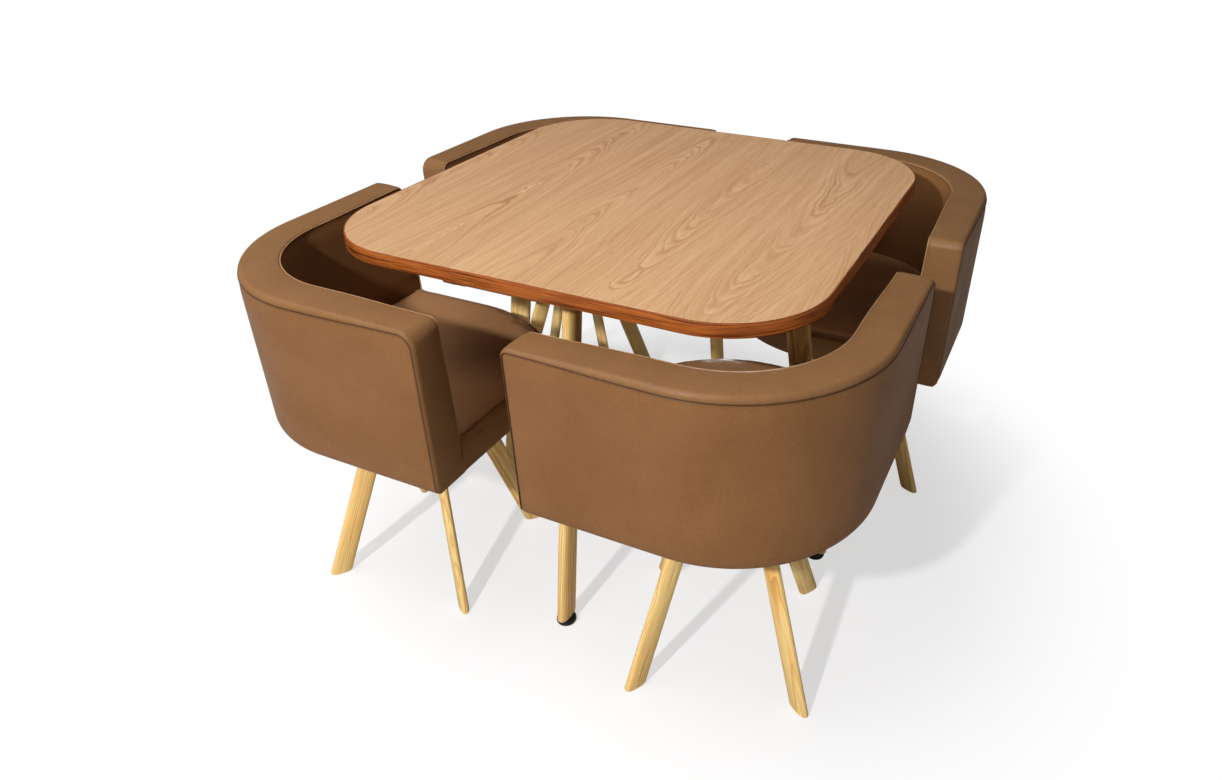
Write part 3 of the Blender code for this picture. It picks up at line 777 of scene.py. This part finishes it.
def leg_piece(node, depth, width, material):
    """A slanted leg in its node's place, with its grain running along its own axis."""
    places = [vert.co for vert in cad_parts[node].data.vertices]
    low = min(place.z for place in places)
    high = max(place.z for place in places)
    foot = end_middle([place for place in places if place.z < low + LEG_END], low)
    top = end_middle([place for place in places if place.z > high - LEG_END], high)
    slant = top - foot
    angle = atan2(slant.y, slant.x)
    turn = Matrix.Rotation(angle, 4, "Z")
    rings = []
    for inset, z in ((FOOT_ROUNDING, 0), (FOOT_ROUNDING * 0.3, FOOT_ROUNDING * 0.3), (0, FOOT_ROUNDING),
                     (0, (high - low) / 2), (0, high - low)):
        middle = foot + slant * (z / (high - low))
        rings.append([middle + turn @ p for p in leg_outline(depth - 2 * inset, width - 2 * inset)])
    points, faces = loft(rings, False)
    axis = slant.normalized()
    flat = Vector((cos(angle), sin(angle), 0))
    flat = (flat - axis * flat.dot(axis)).normalized()
    side = axis.cross(flat)
    place = Matrix.Translation(foot) @ Matrix((flat, side, axis)).transposed().to_4x4()
    back = place.inverted()
    item = make_piece(node + "_wood", [back @ p for p in points], faces, material, sharp=40)
    item.matrix_world = place
    return item


def turned(name, profile, centre, material, steps=40):
    """A round piece from its half section, given from its top down."""
    rings = [arc_points(centre, radius, 0, 360, steps, z)[:-1] for radius, z in profile]
    return make_piece(name, *loft(rings, False), material, sharp=35)


# Materials


class Shader:
    """A node material: each call adds a node and returns one of its outputs."""

    def __init__(self, name):
        self.material = bpy.data.materials.new(name + "_look")
        self.material.use_nodes = True
        self.tree = self.material.node_tree
        self.surface = self.tree.nodes["Principled BSDF"]
        self.at = self.add("TexCoord", output="Object")

    def node(self, kind):
        return self.tree.nodes.new("ShaderNode" + kind)

    def put(self, socket, value):
        if isinstance(value, bpy.types.NodeSocket):
            self.tree.links.new(value, socket)
        elif value is not None:
            socket.default_value = value

    def add(self, kind, values=(), output=0, **settings):
        node = self.node(kind)
        for key, value in settings.items():
            setattr(node, key, value)
        for key, value in dict(values).items():
            self.put(node.inputs[key], value)
        return node.outputs[output]

    def math(self, operation, first, second=None):
        return self.add("Math", {0: first, 1: second}, operation=operation)

    def plus(self, first, second):
        return self.math("ADD", first, second)

    def times(self, first, second):
        return self.math("MULTIPLY", first, second)

    def centred(self, value, amount):
        """A value from 0 to 1 as a shift to either side."""
        return self.times(self.math("SUBTRACT", value, 0.5), amount)

    def hypotenuse(self, first, second):
        return self.math("SQRT", self.plus(self.times(first, first), self.times(second, second)))

    def split(self, value, kind="SeparateXYZ"):
        node = self.node(kind)
        self.put(node.inputs[0], value)
        return tuple(node.outputs)

    def moved(self, vector, shift):
        return self.add("VectorMath", {0: vector, 1: shift}, operation="ADD")

    def noise(self, vector, scale=1.0, detail=2.0, roughness=0.5):
        values = {"Vector": vector, "Scale": scale, "Detail": detail, "Roughness": roughness}
        return self.add("TexNoise", values)

    def stretched(self, vector, scale, detail=2.0, roughness=0.5):
        """Noise with a scale of its own along each axis."""
        scaled = self.add("Mapping", {"Vector": vector, "Scale": scale})
        return self.noise(scaled, 1.0, detail, roughness)

    def ramp(self, factor, stops):
        node = self.node("ValToRGB")
        elements = node.color_ramp.elements
        while len(elements) < len(stops):
            elements.new(0.5)
        for element, (place, colour) in zip(elements, stops):
            element.position = place
            element.color = colour
        self.put(node.inputs[0], factor)
        return node.outputs[0]

    def mix(self, factor, first, second, blend="MIX"):
        values = {0: factor, 6: first, 7: second}
        return self.add("Mix", values, 2, data_type="RGBA", blend_type=blend)

    def rescale(self, value, low, high, new_low, new_high, **settings):
        values = {"Value": value, "From Min": low, "From Max": high, "To Min": new_low, "To Max": new_high}
        return self.add("MapRange", values, **settings)

    def tint(self, colour, other, value, low, high, amount=1.0):
        """A colour that turns into another as a value goes from low to high."""
        return self.mix(self.rescale(value, low, high, 0.0, amount), colour, other)

    def bump(self, height, distance, strength, normal=None):
        values = {"Height": height, "Distance": distance, "Strength": strength, "Normal": normal}
        return self.add("Bump", values)

    def finish(self, colour, roughness, normal=None, specular=None, metallic=None):
        values = {"Base Color": colour, "Roughness": roughness, "Normal": normal,
                  "Specular IOR Level": specular, "Metallic": metallic}
        for key, value in values.items():
            self.put(self.surface.inputs[key], value)
        return self.material


def leather(name, colour, dark, roughness=0.42):
    """Smooth upholstery leather with a fine pebbled grain, and painted shade that darkens it along its
    seams.
    """
    s = Shader(name)
    cloudy = s.noise(s.at, 9.0, 3.0, 0.6)
    fine = s.noise(s.at, 260.0, 2.0, 0.6)
    cells = s.add("TexVoronoi", {"Vector": s.at, "Scale": 620.0})
    pores = s.noise(s.at, 1500.0, 1.0)
    base = s.tint(colour, dark, cloudy, 0.35, 0.65)
    base = s.tint(base, (0.02, 0.01, 0.005, 1), fine, 0.3, 0.7, 0.14)
    # Painted shade: the mesh's seam attribute darkens the colour towards near-black in seams, tucks and
    # creases
    seam = s.add("Attribute", output="Fac", attribute_name="seam")
    base = s.mix(s.times(seam, 0.85), base, (0.03, 0.015, 0.008, 1))
    rough = s.plus(s.rescale(cloudy, 0.3, 0.7, roughness - 0.04, roughness + 0.04),
                   s.rescale(fine, 0.3, 0.7, -0.03, 0.03))
    relief = s.plus(s.times(cells, 0.8), s.times(pores, 0.35))
    normal = s.bump(relief, 0.00022, 0.55)
    normal = s.bump(s.noise(s.at, 34.0, 3.0, 0.55), 0.0016, 0.22, normal)
    return s.finish(base, rough, normal, 0.12)


def oak_top(name):
    """Flat-sawn oak in strips: arched growth rings, fine pores, and a tone that darkens from strip 0
    towards -X.
    """
    s = Shader(name)
    x, y, _ = s.split(s.at)
    shifted = s.plus(x, STRIP_SHIFT)
    strip = s.math("FLOOR", s.math("DIVIDE", shifted, STRIP_WIDTH))
    dice = s.add("TexWhiteNoise", {"W": s.times(strip, 1.7)}, output="Color", noise_dimensions="1D")
    one, two, _ = s.split(dice, "SeparateColor")
    jump = s.add("CombineXYZ", {"X": s.times(strip, 3.7), "Y": s.times(strip, 9.1)})
    moved = s.moved(s.at, jump)

    # Rings are cuts through a cone under the middle of each strip, bent and jagged by noise
    middle = s.times(s.plus(strip, 0.5), STRIP_WIDTH)
    bend = s.stretched(moved, (1.5, 1.8, 1))
    across = s.math("SUBTRACT", shifted, middle)
    across = s.plus(across, s.rescale(one, 0, 1, -0.018, 0.018))
    across = s.plus(across, s.centred(bend, 0.075))
    near = s.rescale(s.math("ABSOLUTE", across), 0.008, 0.055, 1.0, 0.0)
    reach = s.hypotenuse(across, s.rescale(two, 0, 1, 0.018, 0.036))
    way = s.rescale(strip, -1.0, 0.0, 1.0, -1.0)
    rise = s.times(s.times(y, way), s.rescale(one, 0, 1, 0.070, 0.120))
    slow = s.stretched(moved, (5.0, 4.0, 1))
    quick = s.stretched(moved, (26.0, 15.0, 1), 2.0, 0.55)
    jagged = s.stretched(moved, (90.0, 50.0, 1), 2.0, 0.6)
    cone = s.plus(reach, rise)
    cone = s.plus(cone, s.centred(slow, 0.034))
    cone = s.plus(cone, s.centred(quick, s.rescale(near, 0, 1, 0.0020, 0.0130)))
    cone = s.plus(cone, s.centred(jagged, s.rescale(near, 0, 1, 0.0006, 0.0034)))
    place = s.plus(s.times(cone, 75.0), s.times(two, 40.0))
    uneven = s.add("TexNoise", {"W": place, "Scale": 1.0, "Detail": 1.0}, noise_dimensions="1D")
    phase = s.plus(s.math("DIVIDE", cone, TOP_RING), s.times(uneven, 2.6))
    ring = s.math("FRACT", phase)
    whole = s.math("FLOOR", phase)
    strong = s.add("TexWhiteNoise", {"W": whole}, output="Value", noise_dimensions="1D")

    # Colour: rings over a plain ground, stronger near a strip's middle, with pores and streaks
    streaks = s.stretched(moved, (300.0, 9.0, 1), 3.0, 0.65)
    broad = s.stretched(moved, (60.0, 1.6, 1), 2.0, 0.55)
    pores = s.stretched(moved, (900.0, 40.0, 1), 1.0)
    patches = s.stretched(moved, (9.0, 2.4, 1))
    light, base = srgb(222, 181, 139), srgb(208, 165, 122)
    mid, dark = srgb(192, 147, 105), srgb(163, 118, 79)
    stops = [(0.0, base), (0.10, mid), (0.20, dark), (0.34, mid), (0.55, base), (0.85, light)]
    colour = s.ramp(ring, stops)
    plain = s.tint(srgb(194, 150, 108), srgb(214, 172, 130), broad, 0.3, 0.7)
    amount = s.times(s.rescale(strong, 0, 1, 0.25, 1.0), s.rescale(patches, 0.35, 0.62, 0.35, 1.0))
    amount = s.times(amount, s.rescale(near, 0, 1, 0.50, 1.0))
    colour = s.mix(amount, plain, colour)
    early = s.rescale(ring, 0.0, 0.45, 1.0, 0.15)
    speck = s.times(s.rescale(pores, 0.56, 0.72, 0.0, 0.45), early)
    colour = s.mix(speck, colour, srgb(146, 102, 64))
    colour = s.tint(colour, srgb(178, 132, 91), streaks, 0.38, 0.66, 0.36)
    # The strips darken in tone from strip 0 down to strip -3, towards -X; strips 0 and up share one tone
    tone = s.tint((0.875, 0.855, 0.855, 1), (0.965, 0.955, 0.955, 1), strip, -3.0, 0.0)
    colour = s.mix(1.0, colour, tone, "MULTIPLY")
    relief = s.math("SUBTRACT", 1.0, s.plus(speck, s.times(early, 0.12)))
    rough = s.plus(s.rescale(streaks, 0.3, 0.7, 0.40, 0.50), s.times(speck, 0.15))
    return s.finish(colour, rough, s.bump(relief, 0.0002, 0.35), 0.35)


def edging(name):
    """Stained wood edging with streaks that run along the edge and a dark glue line at its top."""
    s = Shader(name)
    height = s.split(s.at)[2]
    streaks = s.stretched(s.at, (7.0, 7.0, 330.0), 3.0, 0.6)
    cloudy = s.stretched(s.at, (14.0, 14.0, 60.0))
    colour = s.ramp(streaks, [(0.38, srgb(70, 29, 8)), (0.46, srgb(128, 64, 22)),
                              (0.55, srgb(172, 94, 34)), (0.66, srgb(104, 48, 15))])
    colour = s.tint(colour, srgb(166, 92, 38), cloudy, 0.4, 0.7, 0.35)
    colour = s.tint(colour, srgb(70, 34, 14), height, TABLE_HEIGHT - 0.0026, TABLE_HEIGHT - 0.0010, 0.35)
    return s.finish(colour, s.rescale(streaks, 0.3, 0.7, 0.46, 0.58), s.bump(streaks, 0.0002, 0.4), 0.25)


def leg_wood(name, light, line, deep):
    """Solid light oak with its grain along the leg, each leg cut from another place in the plank."""
    s = Shader(name)
    chance = s.add("ObjectInfo", output="Random")
    shift = {"X": s.times(chance, 3.1), "Y": s.times(chance, 7.7), "Z": s.times(chance, 5.3)}
    moved = s.moved(s.at, s.add("CombineXYZ", shift))
    across, deep_in, up = s.split(s.at)
    wave = s.stretched(moved, (12.0, 12.0, 5.0), 2.0, 0.55)
    x = s.plus(across, s.centred(wave, 0.030))
    y = s.plus(deep_in, s.rescale(chance, 0, 1, 0.010, 0.026))
    cone = s.math("SUBTRACT", s.hypotenuse(x, y), s.times(up, 0.012))
    ring = s.math("FRACT", s.plus(s.math("DIVIDE", cone, LEG_RING), s.times(chance, 9.0)))
    streaks = s.stretched(moved, (520.0, 520.0, 9.0), 3.0, 0.6)
    pores = s.stretched(moved, (1300.0, 1300.0, 40.0), 1.0)
    colour = s.ramp(ring, [(0.0, deep), (0.16, line), (0.36, light), (0.78, light), (0.94, line)])
    colour = s.mix(s.rescale(wave, 0.35, 0.65, 0.35, 1.0), light, colour)
    colour = s.tint(colour, deep, streaks, 0.40, 0.70, 0.50)
    speck = s.rescale(pores, 0.60, 0.75, 0.0, 0.35)
    colour = s.mix(speck, colour, deep)
    cloudy = s.stretched(moved, (16.0, 16.0, 3.0))
    colour = s.tint(colour, line, cloudy, 0.42, 0.66, 0.30)
    normal = s.bump(s.plus(streaks, speck), 0.0002, 0.3)
    return s.finish(colour, s.rescale(streaks, 0.3, 0.7, 0.44, 0.56), normal, 0.4)


def plastic(name, colour):
    """Moulded black plastic with a faint texture."""
    s = Shader(name)
    grain = s.noise(s.at, 900.0)
    cloudy = s.noise(s.at, 40.0)
    colour = s.tint(colour, srgb(30, 29, 28), cloudy, 0.3, 0.7, 0.4)
    return s.finish(colour, s.rescale(cloudy, 0.3, 0.7, 0.28, 0.40), s.bump(grain, 0.0001, 0.3))


def dust_cloth(name):
    """Black spun cloth stapled under the seat."""
    s = Shader(name)
    fibres = s.noise(s.at, 700.0, 3.0, 0.7)
    colour = s.ramp(fibres, [(0.35, srgb(20, 20, 21)), (0.65, srgb(44, 43, 43))])
    return s.finish(colour, 0.9, s.bump(fibres, 0.0004, 0.5), 0.2)


def steel(name, colour, roughness, metallic):
    """Steel with faint scuffs."""
    s = Shader(name)
    scuffs = s.noise(s.at, 300.0, 3.0, 0.6)
    colour = s.tint(colour, srgb(70, 70, 72), scuffs, 0.4, 0.7, 0.3)
    rough = s.rescale(scuffs, 0.3, 0.7, roughness - 0.06, roughness + 0.06)
    return s.finish(colour, rough, s.bump(scuffs, 0.0001, 0.2), metallic=metallic)


LEATHER_MAIN = leather("outer_leather", srgb(135, 94, 58), srgb(128, 88, 53))
# Painted light: the rim strip's copy is a touch lighter and greyer than the panels', tuned to the light on
# the rim
LEATHER_BAND_PAINTED_LIGHTER = leather("rim_leather", srgb(136, 98, 63), srgb(129, 92, 58))
# Painted light: the seats' copy of the leather is much lighter than the panels', making up for the shade
# that the table casts on the seats
LEATHER_SEAT_PAINTED_LIGHTER = leather("seat_leather", srgb(170, 126, 87), srgb(162, 118, 80))
# Painted highlight: the inner welts' copy is lighter, standing for the light caught along the rim's inner
# edge
LEATHER_WELT_PAINTED_HIGHLIGHT = leather("welt_leather_painted_highlight", srgb(178, 138, 98), srgb(160, 121, 84))
# Painted shade: a dark copy for the thin outer welt, which stands for the shaded groove of the outer seam
LEATHER_SEAM_PAINTED_SHADE = leather("seam_painted_shade", srgb(80, 52, 33), srgb(70, 44, 27), 0.55)
OAK_TOP = oak_top("oak_top")
EDGING = edging("edging")
LEG_OAK = leg_wood("leg_oak", srgb(255, 226, 152), srgb(244, 190, 106), srgb(184, 120, 52))
RAIL_OAK = leg_wood("rail_wood", srgb(205, 170, 120), srgb(180, 142, 92), srgb(150, 112, 70))
BLACK_PLASTIC = plastic("glide_plastic", srgb(16, 16, 16))
DUST_CLOTH = dust_cloth("dust_cloth")
PLATE_STEEL = steel("plate", srgb(28, 28, 29), 0.45, 0.3)
SCREW_STEEL = steel("screw", srgb(150, 150, 150), 0.32, 1.0)


# Pieces in their places


def dress(node, material):
    """Give a CAD node that stays another material."""
    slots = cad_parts[node].data.materials
    slots.clear()
    slots.append(material)


def install(item, body, slot, *nodes):
    """Fix a piece to its body, in place of the CAD nodes that it replaces."""
    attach(item, body)
    if nodes:
        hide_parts(*nodes)


def build_leg(node, body, size):
    install(leg_piece(node, *size, LEG_OAK), body, "oak_leg", node)


def build_chairs():
    """Each soft piece is made once and shared by the four chairs, one object for each."""
    masters = {
        "band": (band_piece(LEATHER_BAND_PAINTED_LIGHTER), "rim_leather", ("rim_band", "seat_border"), 0.8),
        "outer_leather": (outer_panel(LEATHER_MAIN), "outer_leather", ("outer_panel",), 0.9),
        "inner_leather": (inner_panel(LEATHER_MAIN), "inner_leather", ("inner_panel",), 0.7),
        "cushion": (cushion_piece(LEATHER_SEAT_PAINTED_LIGHTER), "seat_leather", ("seat_cushion",), 0.75),
        # Painted shade: the outer welt is a thin tube in the dark copy of the leather, drawn as the seam's
        # shaded groove
        "outer_welt": (outer_welt(LEATHER_SEAM_PAINTED_SHADE), "rim_leather", (), None),
        # Painted highlight: the inner welt wears the lighter copy of the leather
        "inner_welt": (inner_welt(LEATHER_WELT_PAINTED_HIGHLIGHT), "rim_leather", (), None),
    }
    for quarters, side in enumerate(SIDES):
        body = "chair_" + side
        low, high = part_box(body + "_rim_band")
        centre = (low + high) / 2
        place = Matrix.Translation((centre.x, centre.y, 0))
        place = place @ Matrix.Rotation(radians(90 * quarters), 4, "Z")
        for name, (master, slot, nodes, fill) in masters.items():
            item = add_object(body + "_" + name, master.data)
            item.matrix_world = place
            install(item, body, slot, *(body + "_" + node for node in nodes))
        for corner in ("outer", "near", "inner", "far"):
            build_leg(body + "_leg_" + corner, body, CHAIR_LEG)
        for node in ("_wall_frame", "_seat_board"):
            dress(body + node, DUST_CLOTH)
        dress(body + "_leg_plate", PLATE_STEEL)
        build_plate_screws(body)
    for master, *_ in masters.values():
        bpy.data.objects.remove(master)


def build_plate_screws(body):
    """Four pan-head screws, one at each corner, that hold the leg plate to the seat board."""
    low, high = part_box(body + "_leg_plate")
    centre = (low + high) / 2
    places = [vert.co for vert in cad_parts[body + "_leg_plate"].data.vertices]
    far = max(((p.x - centre.x) ** 2 + (p.y - centre.y) ** 2, k) for k, p in enumerate(places))[1]
    corner = places[far] - centre
    angle = atan2(corner.y, corner.x)
    reach = hypot(corner.x, corner.y) - SCREW_FROM_CORNER
    profile = [(radius, low.z - drop) for radius, drop in SCREW]
    for number in range(4):
        turn = angle + pi / 2 * number
        at = (centre.x + reach * cos(turn), centre.y + reach * sin(turn))
        screw = turned(body + "_plate_screw_" + str(number), profile, at, SCREW_STEEL, steps=20)
        install(screw, body, "plate_steel")


def glide_profile(sole, stem_top):
    """Half section of a glide: stem, collar, domed shoulder and sole."""
    profile = [(radius, stem_top - drop) for radius, drop in GLIDE_STEM]
    profile += [(radius, GLIDE_COLLAR_HEIGHT - drop) for radius, drop in GLIDE_COLLAR]
    profile += [(sole - inset, GLIDE_COLLAR_HEIGHT - drop) for inset, drop in GLIDE_SHOULDER]
    return profile + [(sole - inset, z) for inset, z in GLIDE_SOLE] + [(AXIS, 0.0)]


def build_table():
    board = table_board(OAK_TOP)
    band = edge_band(EDGING)
    for item, node, slot in ((board, "table_top", "oak_top"), (band, "table_edge_band", "edge_band")):
        item.matrix_world = Matrix.Translation(TABLE_MIDDLE)
        install(item, "table", slot, node)
    for side in SIDES:
        build_leg("table_leg_" + side, "table", TABLE_LEG)
        node = "table_glide_" + side
        low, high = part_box(node)
        profile = glide_profile((high.x - low.x) / 2, high.z)
        glide = turned(node + "_foot", profile, (low + high) / 2, BLACK_PLASTIC)
        install(glide, "glide_" + side, "glide_plastic", node)
    for node in ("table_rail_x", "table_rail_y"):
        dress(node, RAIL_OAK)


def mix_surfaces(tree, factor, first, second, output):
    """Send a mix of two nodes' surfaces to the output of a material or world."""
    mixed = tree.nodes.new("ShaderNodeMixShader")
    for socket, source in zip(mixed.inputs, (factor, first.outputs[0], second.outputs[0])):
        tree.links.new(source, socket)
    tree.links.new(mixed.outputs[0], tree.nodes[output].inputs["Surface"])


def build_floor():
    """A plain pale floor that keeps the shadows and turns white further out."""
    bpy.ops.mesh.primitive_plane_add(size=FLOOR_SIZE)
    floor = bpy.context.object
    floor.name = "floor"
    floor.location.z = -FLOOR_DROP
    s = Shader("floor")
    far = s.add("VectorMath", {0: s.at}, operation="LENGTH", output="Value")
    fade = s.rescale(far, *FLOOR_FADE, 0.0, 1.0, interpolation_type="SMOOTHSTEP")
    path = s.node("LightPath")
    seen = s.math("MAXIMUM", path.outputs["Is Camera Ray"], path.outputs["Is Transmission Ray"])
    s.finish(s.mix(seen, srgb(194, 189, 184), srgb(252, 250, 250)), 0.9, None, 0.0)
    glow = s.node("Emission")
    amount = s.times(seen, s.rescale(fade, 0, 1, FLOOR_GLOW, 1.0))
    mix_surfaces(s.tree, amount, s.surface, glow, "Material Output")
    floor.data.materials.append(s.material)


def build_light():
    """The lamps, and a dim even sky that the camera sees as white."""
    for name, (place, size, power) in LIGHTS.items():
        lamp = bpy.data.lights.new(name, "AREA")
        lamp.shape = "DISK"
        lamp.size = size
        lamp.energy = power
        item = add_object(name, lamp)
        item.location = TABLE_MIDDLE + Vector(place)
        aim = TABLE_MIDDLE + Vector((0, 0, LIGHTS_AIM)) - item.location
        item.rotation_euler = aim.to_track_quat("-Z", "Y").to_euler()
    world = bpy.data.worlds.new("studio")
    bpy.context.scene.world = world
    world.use_nodes = True
    tree = world.node_tree
    dim = tree.nodes["Background"]
    white = tree.nodes.new("ShaderNodeBackground")
    for node, strength in ((dim, WORLD_STRENGTH), (white, 1.0)):
        node.inputs["Color"].default_value = (1, 1, 1, 1)
        node.inputs["Strength"].default_value = strength
    path = tree.nodes.new("ShaderNodeLightPath")
    mix_surfaces(tree, path.outputs["Is Camera Ray"], dim, white, "World Output")


def build_camera():
    camera = bpy.data.cameras.new("camera")
    camera.sensor_width = SENSOR_WIDTH
    camera.sensor_fit = "HORIZONTAL"
    camera.lens = CAMERA_LENS
    camera.shift_x, camera.shift_y = CAMERA_SHIFT
    item = add_object("camera", camera)
    item.location = TABLE_MIDDLE + Vector(CAMERA_FROM_TABLE)
    item.rotation_euler = (radians(90 - CAMERA_ELEVATION), 0, radians(CAMERA_AZIMUTH))
    bpy.context.scene.camera = item


build_chairs()
build_table()
build_floor()
build_light()
build_camera()
bpy.context.scene.view_settings.view_transform = "Standard"
